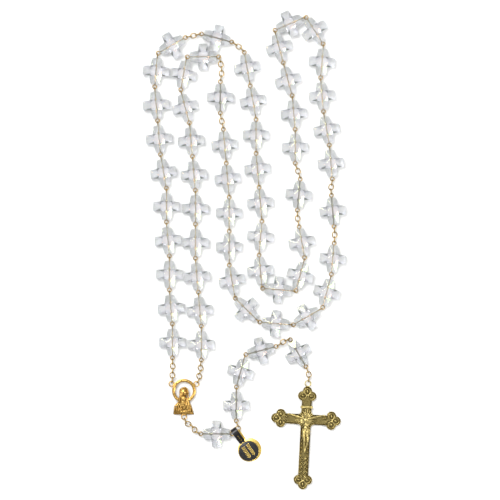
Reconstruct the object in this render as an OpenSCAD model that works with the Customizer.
// Crystal cross-bead rosary, laid out flat and folded to and fro for display.
// Units are millimetres. X runs across the laid-out rosary, Y along it towards the top of the
// loop, and Z up from the table. The origin is the middle of its footprint, on the table.
// Wire rings hang in one another, so each is either flat on the table or upright on its edge.

/* [Beads] */
// Size of a cross bead from arm tip to arm tip
bead_size = 13.7; // [13.2:0.1:13.8]
// Thickness of a bead at its middle
bead_thick = 5.2; // [4.6:0.1:6]
// Height of the plain band round the edge of a bead
girdle_h = 2.2; // [1.2:0.1:2.8]
// Width of an arm at its tip
arm_tip_w = 4.7; // [4:0.1:5]
// Width of a side arm where it meets the middle
side_root_w = 5; // [4.8:0.1:5.4]
// Width of a drilled arm where it meets the middle
drilled_root_w = 6.2; // [5:0.1:6.6]
// Distance from the middle of a bead to the point of an arm's end facet
facet_reach = 2.7; // [2:0.1:3.5]
// Diameter of the hole through a bead
bead_bore = 0.72; // [0.65:0.01:0.74]

/* [Wire] */
// Diameter of the wire of the pins and links
wire = 0.55; // [0.45:0.01:0.58]
// Radius of a pin's eye, to the middle of the wire
eye_r = 0.975; // [0.95:0.005:1]
// Distance from the middle of a link to the middle of the wire at its end
link_half = 1.5; // [1.45:0.01:1.55]
// Radius of a link's round ends, to the middle of the wire
link_r = 1.175; // [1.1:0.005:1.3]
// Play left between two rings that hang in one another
slack = 0.04; // [0.02:0.01:0.08]

/* [Centre medal] */
// Outer diameter of the halo
halo_d = 12.4; // [11.5:0.1:13]
// Width of the halo's band
halo_band = 1.6; // [1.2:0.1:2]
// Thickness of the halo
halo_t = 1.6; // [1.2:0.1:2]
// Diameter of the wire of the medal's loops
loop_wire = 0.6; // [0.5:0.05:0.7]
// Radius of the medal's loops, to the middle of the wire
loop_r = 1.25; // [1.2:0.05:1.35]
// Height of the loops above the table
loop_z = 2; // [1.8:0.1:2.2]

/* [Crucifix] */
// Distance from the crossing to the middle of the top trefoil
top_reach = 12.4; // [12:0.1:13]
// Distance from the crossing to the middle of a side trefoil
side_reach = 13.4; // [13:0.1:14.5]
// Distance from the crossing to the middle of the bottom trefoil
bottom_reach = 31.7; // [30:0.1:33]
// Width of the cross's bars
bar_w = 5.2; // [4.6:0.1:5.6]
// Thickness of the cross
cross_t = 2; // [1.6:0.1:2.4]
// Radius of one lobe of a trefoil
lobe_r = 2.4; // [2.2:0.1:2.6]
// Turn of the crucifix on the table
cross_turn = -3; // [-6:1:6]

/* [Tag] */
// Diameter of the black front disc
tag_front_d = 10.9; // [10:0.1:11.5]
// Diameter of the gold back disc
tag_back_d = 12.2; // [11.6:0.1:13]
// Width of the tag's neck
tag_neck_w = 3.2; // [2.6:0.1:3.2]
// Thickness of one leaf of the tag
leaf_t = 0.25; // [0.2:0.05:0.3]

/* [Hidden] */
$fn = 48;
thin_fn = 16;

bead_h = bead_thick / 2;
chain_z = bead_h;
eye_gap = 0.05;
pin_len = bead_size + 2 * eye_r + wire + 2 * eye_gap;

// Distance from the middle of a flat ring to the edge-on wire that hangs in it
function flat_reach(r) = r - wire - slack;
eye_reach = flat_reach(eye_r);
loop_reach = loop_r - (wire + loop_wire) / 2 - slack;

// The pieces of a chain, and how far each carries the chain along its own heading:
// "U" is an upright link, "L" a link lying flat, "P" a pin whose last eye stands upright and
// "Q" a pin with both its eyes flat. A pin's first eye is always flat.
function span(kind) =
    kind == "U" ? 2 * link_half
    : kind == "L" ? 2 * flat_reach(link_half)
    : kind == "P" ? eye_reach + pin_len + eye_r
    : pin_len + 2 * eye_reach;

function towards(heading) = [cos(heading), sin(heading), 0];

// One run of pieces from a start point: [kind, start point, heading] for each of them
function lay(start, kinds, headings, i = 0) =
    i == len(headings) ? []
    : concat([[kinds[i], start, headings[i]]],
             lay(start + span(kinds[i]) * towards(headings[i]), kinds, headings, i + 1));

// The point where the piece after a run hangs
function after(run) =
    let (last = run[len(run) - 1]) last[1] + span(last[0]) * towards(last[2]);

function heading_to(a, b) = atan2(b[1] - a[1], b[0] - a[0]);

// The corner above two points a and b that lies at distances ra and rb from them
function corner(a, b, ra, rb) =
    let (d = norm(b - a),
         along = (ra * ra - rb * rb + d * d) / (2 * d),
         up = sqrt(ra * ra - along * along),
         u = (b - a) / d)
    a + along * u + up * [-u[1], u[0], 0];

// Lowers a run evenly from one height to another
function slope(run, z_from, z_to) =
    [for (i = [0 : len(run) - 1])
        let (z = z_from + (z_to - z_from) * (i + 1) / (len(run) + 1))
        [run[i][0], [run[i][1][0], run[i][1][1], z], run[i][2]]];

function level(p, z) = [p[0], p[1], z];
function part_of(run, first, last) = [for (i = [first : last]) run[i]];

SHORT = "ULU";
LONG = "ULULU";
DECADE = "PPPPPPPPPQ";
HALF = "PPPPP";

// The medal, and where its three loops are
medal_at = [-31.4, -73.2, 0];
side_loop = [6.5, 3.6, 0];
bottom_loop = [0, -13.6, 0];
left_loop_at = medal_at + [-side_loop[0], side_loop[1], loop_z];
right_loop_at = medal_at + [side_loop[0], side_loop[1], loop_z];
bottom_loop_at = medal_at + bottom_loop + [0, 0, loop_z];

// The route, laid by hand: the heading of each piece in degrees anticlockwise from +X, in steps
// of five. Neighbours in a chain turn by 80 at most, where their beads almost touch.
left_heading = [80, 100, 80, 100, 90];
decade_1_heading = [90, 95, 90, 95, 90, 100, 95, 95, 85, 30];
pater_1_in_heading = [10, 15, 15];
pater_1_heading = [345];
pater_1_out_heading = [325, 325, 315];
decade_2_heading = [280, 280, 270, 275, 275, 265, 275, 355, 75, 100];
pater_2_in_heading = [100, 100, 90];
pater_2_heading = [85];
pater_2_out_heading = [105, 115, 110];
decade_3_heading = [90, 95, 105, 105];
right_heading = [60, 115, 60, 115, 75];
decade_5_heading = [90, 95, 95, 90, 90, 95, 95, 105, 80, 0];
pater_4_in_heading = [280, 280, 275, 265, 260];
pater_4_heading = [270];
pater_4_out_heading = [280, 285, 280];
decade_4_heading = [275, 275, 270, 270, 280, 315, 355, 30, 75, 85];
pater_3_in_heading = [85, 90, 95];
pater_3_heading = [95];
pater_3_out_heading = [95, 80, 80];
decade_3_back_heading = [95, 100, 95, 85];
pendant_in_heading = [290, 350, 320, 280, 335];
pendant_pater_heading = [0];
tag_chain_heading = [35, 80, 110];
aves_heading = [90, 75, 15];
last_in_heading = [35, 35, 20];
last_pater_heading = [300];
crucifix_in_heading = [290, 285, 260];

// The left-hand way round the loop: decade 1, Pater 1, decade 2, Pater 2, half of decade 3
left_start = level(left_loop_at + loop_reach * towards(left_heading[0]), chain_z);
medal_left = lay(left_start, LONG, left_heading);
decade_1 = lay(after(medal_left), DECADE, decade_1_heading);
pater_1_in = lay(after(decade_1), SHORT, pater_1_in_heading);
pater_1 = lay(after(pater_1_in), "Q", pater_1_heading);
pater_1_out = lay(after(pater_1), SHORT, pater_1_out_heading);
decade_2 = lay(after(pater_1_out), DECADE, decade_2_heading);
pater_2_in = lay(after(decade_2), SHORT, pater_2_in_heading);
pater_2 = lay(after(pater_2_in), "Q", pater_2_heading);
pater_2_out = lay(after(pater_2), SHORT, pater_2_out_heading);
decade_3_up = lay(after(pater_2_out), HALF, decade_3_heading);

// The right-hand way: decade 5, Pater 4, decade 4, Pater 3, the other half of decade 3
right_start = level(right_loop_at + loop_reach * towards(right_heading[0]), chain_z);
medal_right = lay(right_start, LONG, right_heading);
decade_5 = lay(after(medal_right), DECADE, decade_5_heading);
pater_4_in = lay(after(decade_5), LONG, pater_4_in_heading);
pater_4 = lay(after(pater_4_in), "Q", pater_4_heading);
pater_4_out = lay(after(pater_4), SHORT, pater_4_out_heading);
decade_4 = lay(after(pater_4_out), DECADE, decade_4_heading);
pater_3_in = lay(after(decade_4), SHORT, pater_3_in_heading);
pater_3 = lay(after(pater_3_in), "Q", pater_3_heading);
pater_3_out = lay(after(pater_3), SHORT, pater_3_out_heading);
decade_3_down = lay(after(pater_3_out), HALF, decade_3_back_heading);

// The last pin of each way turns so that the two meet at the top of decade 3
up_end = after(decade_3_up);
down_end = after(decade_3_down);
meeting = corner(up_end, down_end, span("P"), span("Q"));
decade_3_first = concat(decade_3_up, [["P", up_end, heading_to(up_end, meeting)]]);
decade_3_last = concat(decade_3_down, [["Q", down_end, heading_to(down_end, meeting)]]);

// The pendant: a Pater, three Aves and a Pater between the medal and the crucifix
pendant_start = level(bottom_loop_at + loop_reach * towards(pendant_in_heading[0]), chain_z);
pendant_in = lay(pendant_start, LONG, pendant_in_heading);
pendant_pater = lay(after(pendant_in), "Q", pendant_pater_heading);
tag_chain = lay(after(pendant_pater), SHORT, tag_chain_heading);
aves = lay(after(tag_chain), "PPQ", aves_heading);
last_in = lay(after(aves), SHORT, last_in_heading);
last_pater = lay(after(last_in), "Q", last_pater_heading);
crucifix_in = lay(after(last_pater), SHORT, crucifix_in_heading);
crucifix_loop_r = 1.5;
crucifix_loop_reach = crucifix_loop_r - (wire + loop_wire) / 2 - slack;
crucifix_loop_at = after(crucifix_in) + crucifix_loop_reach * towards(crucifix_in_heading[2]);
crucifix_loop_y = top_reach + 1.95 * lobe_r + crucifix_loop_r + 0.1;
crucifix_z = 2;

// ---- the bead ------------------------------------------------------------------------------

// Outline of the cross, anticlockwise, three points an arm: two at its tip, one in the notch
function quarter_turn(p, k) =
    k == 0 ? p : quarter_turn([-p[1], p[0]], k - 1);
tip_x = bead_size / 2;
tip_half = arm_tip_w / 2;
outline = [
    for (k = [0 : 3])
        let (notch = k % 2 == 0 ? [side_root_w, drilled_root_w] / 2
                                : [drilled_root_w, side_root_w] / 2)
        each [quarter_turn([tip_x, -tip_half], k), quarter_turn([tip_x, tip_half], k),
              quarter_turn(notch, k)]
];
bead_points = concat(
    [for (p = outline) [p[0], p[1], girdle_h / 2]],
    [for (p = outline) [p[0], p[1], -girdle_h / 2]],
    [for (side = [1, -1]) for (k = [0 : 3])
        let (p = quarter_turn([facet_reach, 0], k)) [p[0], p[1], side * bead_h]]
);

// The facets of one face: four on each arm and notch, then the table in the middle
function facets(rim, peak) =
    concat(
        [for (k = [0 : 3])
            let (a = rim + 3 * k, notch = a + 2, back = rim + (3 * k + 11) % 12,
                 top = peak + k, next = peak + (k + 1) % 4)
            each [[top, a + 1, a], [top, notch, a + 1], [top, a, back], [next, notch, top]]],
        [[peak + 3, peak + 2, peak + 1, peak]]
    );
function turned(faces) = [for (f = faces) [for (i = [len(f) - 1 : -1 : 0]) f[i]]];
bead_faces = concat(
    facets(0, 24),
    turned(facets(12, 28)),
    [for (i = [0 : 11]) [i, (i + 1) % 12, 12 + (i + 1) % 12, 12 + i]]
);

// A crystal bead, drilled along X
module cross_bead() {
    difference() {
        polyhedron(points = bead_points, faces = bead_faces);
        rotate([0, 90, 0])
            cylinder(h = bead_size + 2, d = bead_bore, center = true);
    }
}

// ---- the wire ------------------------------------------------------------------------------

module ring(r, d) {
    rotate_extrude()
        translate([r, 0])
            circle(d = d, $fn = thin_fn);
}

// A pin from the point where it hangs, along X
module pin(kind) {
    first = eye_reach;
    last = eye_reach + pin_len;
    translate([first, 0, 0])
        ring(eye_r, wire);
    translate([first + eye_r, 0, 0])
        rotate([0, 90, 0])
            cylinder(h = pin_len - 2 * eye_r, d = wire, $fn = thin_fn);
    translate([last, 0, 0])
        rotate([kind == "P" ? 90 : 0, 0, 0])
            ring(eye_r, wire);
}

// An oval chain link about its middle, lying flat with its length along X
module link() {
    straight = 2 * (link_half - link_r);
    for (side = [0, 180])
        rotate([0, 0, side]) {
            translate([straight / 2, 0, 0])
                rotate_extrude(angle = 180, start = -90)
                    translate([link_r, 0])
                        circle(d = wire, $fn = thin_fn);
            translate([-straight / 2, link_r, 0])
                rotate([0, 90, 0])
                    cylinder(h = straight, d = wire, $fn = thin_fn);
        }
}

// Puts a piece's own frame at its place in a run
module placed(piece) {
    translate(piece[1])
        rotate([0, 0, piece[2]])
            children();
}

module beads(run) {
    color("aliceblue", 0.6)
        for (piece = run)
            placed(piece)
                translate([eye_reach + pin_len / 2, 0, 0])
                    cross_bead();
}

module pins(run) {
    color("goldenrod")
        for (piece = run)
            placed(piece)
                pin(piece[0]);
}

module chain(run) {
    color("darkgoldenrod")
        for (piece = run)
            placed(piece)
                translate([span(piece[0]) / 2, 0, 0])
                    rotate([piece[0] == "U" ? 90 : 0, 0, 0])
                        link();
}

// ---- the centre medal ----------------------------------------------------------------------

// The veiled praying figure from the waist up, with a flat back on the table
module bust() {
    head_r = 1.9;
    hull() {
        translate([-0.9, -11.3, 0])
            cylinder(h = 2.6, r1 = 5, r2 = 3.4, $fn = 32);
        translate([-0.3, -3.5, 0])
            cylinder(h = 2.4, r = 2.4, $fn = 32);
    }
    hull() {
        translate([-0.4, -0.9, 2.1])
            sphere(r = head_r + 0.4, $fn = 24);
        translate([-0.8, -4, 1.4])
            sphere(r = 2.2, $fn = 24);
    }
    // the head, bent a little towards the joined hands
    translate([0.4, -1, 2.5])
        sphere(r = head_r);
    // joined hands and sleeves
    hull() {
        translate([2.4, -5.2, 2.5])
            sphere(r = 0.7, $fn = 20);
        translate([0.8, -8.4, 2])
            sphere(r = 1.6, $fn = 20);
    }
}

module centre_medal() {
    color("orange")
        translate(medal_at) {
            translate([0, 0, loop_z - halo_t / 2])
                difference() {
                    cylinder(h = halo_t, d = halo_d);
                    translate([0, 0, -1])
                        cylinder(h = halo_t + 2, d = halo_d - 2 * halo_band);
                }
            for (side = [-1, 1])
                translate([side * side_loop[0], side_loop[1], loop_z])
                    ring(loop_r, loop_wire);
            translate(bottom_loop + [0, 0, loop_z])
                ring(loop_r, loop_wire);
            difference() {
                bust();
                // the flat back, and a straight cut edge under the mantle
                translate([-20, -20, -5])
                    cube([40, 40, 5]);
                translate([-20, -40 + bottom_loop[1] + loop_r, -5])
                    cube([40, 40, 20]);
            }
        }
}

// ---- the crucifix --------------------------------------------------------------------------

flare_r = 6.1;
pocket_r = lobe_r - 0.8;
pocket_depth = 0.6;

// Middles of the three lobes of a trefoil that points along +X
lobes = [[0.95 * lobe_r, 0], [-0.1 * lobe_r, lobe_r], [-0.1 * lobe_r, -lobe_r]];

module trefoil_outline(r) {
    for (p = lobes)
        translate(p)
            circle(r = r);
}

// The four ends of the cross: [how far out, which way]
ends = [[side_reach, 0], [top_reach, 90], [side_reach, 180], [bottom_reach, 270]];

module at_end(end) {
    rotate([0, 0, end[1]])
        translate([end[0], 0, 0])
            children();
}

// Puts the crucifix's own frame, with its origin at the crossing, in place
module at_crucifix() {
    translate(level(crucifix_loop_at, 0))
        rotate([0, 0, cross_turn])
            translate([0, -crucifix_loop_y, 0])
                children();
}

module crucifix_cross() {
    color("darkkhaki")
        at_crucifix() {
            difference() {
                union() {
                    for (end = ends) {
                        rotate([0, 0, end[1]])
                            translate([0, -bar_w / 2, 0])
                                cube([end[0], bar_w, cross_t]);
                        at_end(end)
                            linear_extrude(cross_t)
                                trefoil_outline(lobe_r);
                    }
                    // the flare that fills the corners of the crossing
                    cylinder(h = cross_t, r = flare_r, $fn = 4);
                }
                // a round pocket in every lobe and a long one down each bar
                for (end = ends) {
                    at_end(end)
                        translate([0, 0, cross_t - pocket_depth])
                            linear_extrude(pocket_depth + 1)
                                trefoil_outline(pocket_r);
                    rotate([0, 0, end[1]])
                        translate([bar_w / 2 + 0.6, -bar_w / 2 + 0.7, cross_t - pocket_depth / 2])
                            cube([end[0] - bar_w / 2 - 3.4, bar_w - 1.4, 1]);
                }
            }
            translate([0, crucifix_loop_y, crucifix_z])
                ring(crucifix_loop_r, loop_wire);
        }
}

corpus_z = cross_t + 0.8;

// A limb from one point to another, thinning from r1 to r2, with round ends
module limb(a, b, r1, r2) {
    hull() {
        translate(a)
            sphere(r = r1, $fn = 16);
        translate(b)
            sphere(r = r2, $fn = 16);
    }
}

module crucifix_corpus() {
    color("khaki")
        at_crucifix()
            difference() {
                translate([0, 0, corpus_z]) {
                    // head, hanging to one side
                    translate([-0.7, 2.6, 0.7])
                        sphere(r = 1.35, $fn = 24);
                    // chest, waist, hips and the cloth round them
                    limb([0, 0.4, 0.2], [0, -3.6, 0.1], 1.5, 1.15);
                    limb([0, -3.6, 0.1], [0.2, -6.6, 0.1], 1.2, 1.6);
                    for (side = [-1, 1]) {
                        // upper arm and forearm up to the nailed hand
                        limb([side * 1.2, 0.6, 0.1], [side * 4.8, 1.7, -0.1], 0.7, 0.55);
                        limb([side * 4.8, 1.7, -0.1], [side * 8.9, 2.4, -0.3], 0.55, 0.45);
                        // thigh and shin down to the crossed feet
                        limb([side * 0.7, -6.8, 0.1], [side * 0.8 + 0.5, -11, 0.5], 0.95, 0.7);
                        limb([side * 0.8 + 0.5, -11, 0.5], [side * 0.3, -15.6, -0.2], 0.7, 0.5);
                    }
                    limb([0, -15.6, -0.1], [0, -17, 0.2], 0.6, 0.45);
                }
                // the back is ground flat where it is fixed on the cross
                translate([-12, -20, 0])
                    cube([24, 26, cross_t]);
            }
}

module crucifix_scroll() {
    color("khaki")
        at_crucifix()
            translate([0, 6.4, cross_t + 0.02])
                linear_extrude(0.6)
                    union() {
                        square([4.4, 1.8], center = true);
                        for (side = [-1, 1])
                            translate([side * 2.2, 0])
                                circle(r = 1.05);
                    }
}

// ---- the tag -------------------------------------------------------------------------------

// The tag hangs on the first link after the pendant's first Pater. Its own frame has the fold's
// axis along X, the discs towards -Y and the middle of the fold at the origin.
tag_fold_r = 2.2;
tag_reach = 12.2;
tag_heading = tag_chain_heading[0];
tag_at = tag_chain[0][1] + span("U") / 2 * towards(tag_heading);
back_z = leaf_t / 2;
front_z = back_z + leaf_t + 0.05;
front_leave = 130;
back_leave = -115;
back_shift = [0.8, 0.3];

module at_tag() {
    translate(level(tag_at, chain_z))
        rotate([0, 0, tag_heading])
            children();
}

// A flat strip of leaf between two points of the side view, as wide as the neck
module strip(a, b) {
    v = b - a;
    rotate([90, 0, 90])
        linear_extrude(tag_neck_w, center = true)
            translate(a)
                rotate(atan2(v[1], v[0]))
                    translate([0, -leaf_t / 2])
                        square([norm(v), leaf_t]);
}

// Half of the fold round the link: the part above or below the middle
module fold(from, to) {
    rotate([90, 0, 90])
        linear_extrude(tag_neck_w, center = true)
            difference() {
                circle(r = tag_fold_r + leaf_t / 2);
                circle(r = tag_fold_r - leaf_t / 2);
                rotate(from)
                    translate([-5, -5])
                        square([10, 5]);
                rotate(to)
                    translate([-5, 0])
                        square([10, 5]);
            }
}

module disc(d, z, shift) {
    translate([shift[0], -tag_reach + shift[1], z - chain_z - leaf_t / 2])
        cylinder(h = leaf_t, d = d);
}

module tag_front() {
    low = front_z - chain_z;
    leave = tag_fold_r * [cos(front_leave), sin(front_leave)];
    meet = [leave[0] - (leave[1] - low) / tan(front_leave - 90), low];
    color("black")
        at_tag() {
            fold(0, front_leave);
            strip(leave, meet);
            strip(meet, [-tag_reach + tag_front_d / 3, low]);
            disc(tag_front_d, front_z, [0, 0]);
        }
}

module tag_back() {
    low = back_z - chain_z;
    leave = tag_fold_r * [cos(back_leave), sin(back_leave)];
    meet = [leave[0] - (low - leave[1]) / tan(back_leave + 90), low];
    color("gold")
        at_tag() {
            fold(back_leave, 0);
            strip(leave, meet);
            translate([back_shift[0], 0, 0])
                strip(meet, [-tag_reach + tag_back_d / 3, low]);
            disc(tag_back_d, back_z, back_shift);
        }
}

// ---- the nodes -----------------------------------------------------------------------------

centre_medal();
chain(slope(medal_left, loop_z, chain_z));  // medal_chain_left
chain(slope(medal_right, loop_z, chain_z));  // medal_chain_right
beads(part_of(decade_1, 0, 4));  // decade_1_first_beads
pins(part_of(decade_1, 0, 4));  // decade_1_first_pins
beads(part_of(decade_1, 5, 9));  // decade_1_last_beads
pins(part_of(decade_1, 5, 9));  // decade_1_last_pins
beads(part_of(decade_2, 0, 4));  // decade_2_first_beads
pins(part_of(decade_2, 0, 4));  // decade_2_first_pins
beads(part_of(decade_2, 5, 9));  // decade_2_last_beads
pins(part_of(decade_2, 5, 9));  // decade_2_last_pins
beads(decade_3_first);  // decade_3_first_beads
pins(decade_3_first);  // decade_3_first_pins
beads(decade_3_last);  // decade_3_last_beads
pins(decade_3_last);  // decade_3_last_pins
beads(part_of(decade_4, 5, 9));  // decade_4_first_beads
pins(part_of(decade_4, 5, 9));  // decade_4_first_pins
beads(part_of(decade_4, 0, 4));  // decade_4_last_beads
pins(part_of(decade_4, 0, 4));  // decade_4_last_pins
beads(part_of(decade_5, 5, 9));  // decade_5_first_beads
pins(part_of(decade_5, 5, 9));  // decade_5_first_pins
beads(part_of(decade_5, 0, 4));  // decade_5_last_beads
pins(part_of(decade_5, 0, 4));  // decade_5_last_pins
beads(pater_1);  // pater_1_bead
pins(pater_1);  // pater_1_pin
chain(pater_1_in);  // pater_1_chain_in
chain(pater_1_out);  // pater_1_chain_out
beads(pater_2);  // pater_2_bead
pins(pater_2);  // pater_2_pin
chain(pater_2_in);  // pater_2_chain_in
chain(pater_2_out);  // pater_2_chain_out
beads(pater_3);  // pater_3_bead
pins(pater_3);  // pater_3_pin
chain(pater_3_in);  // pater_3_chain_in
chain(pater_3_out);  // pater_3_chain_out
beads(pater_4);  // pater_4_bead
pins(pater_4);  // pater_4_pin
chain(pater_4_in);  // pater_4_chain_in
chain(pater_4_out);  // pater_4_chain_out
chain(slope(pendant_in, loop_z, chain_z));  // pendant_chain
beads(pendant_pater);  // pendant_pater_bead
pins(pendant_pater);  // pendant_pater_pin
chain(tag_chain);
beads(part_of(aves, 0, 0));  // ave_1_bead
pins(part_of(aves, 0, 0));  // ave_1_pin
beads(part_of(aves, 1, 1));  // ave_2_bead
pins(part_of(aves, 1, 1));  // ave_2_pin
beads(part_of(aves, 2, 2));  // ave_3_bead
pins(part_of(aves, 2, 2));  // ave_3_pin
chain(last_in);  // last_pater_chain
beads(last_pater);  // last_pater_bead
pins(last_pater);  // last_pater_pin
chain(slope(crucifix_in, chain_z, crucifix_z));  // crucifix_chain
crucifix_cross();
crucifix_corpus();
crucifix_scroll();
tag_front();
tag_back();
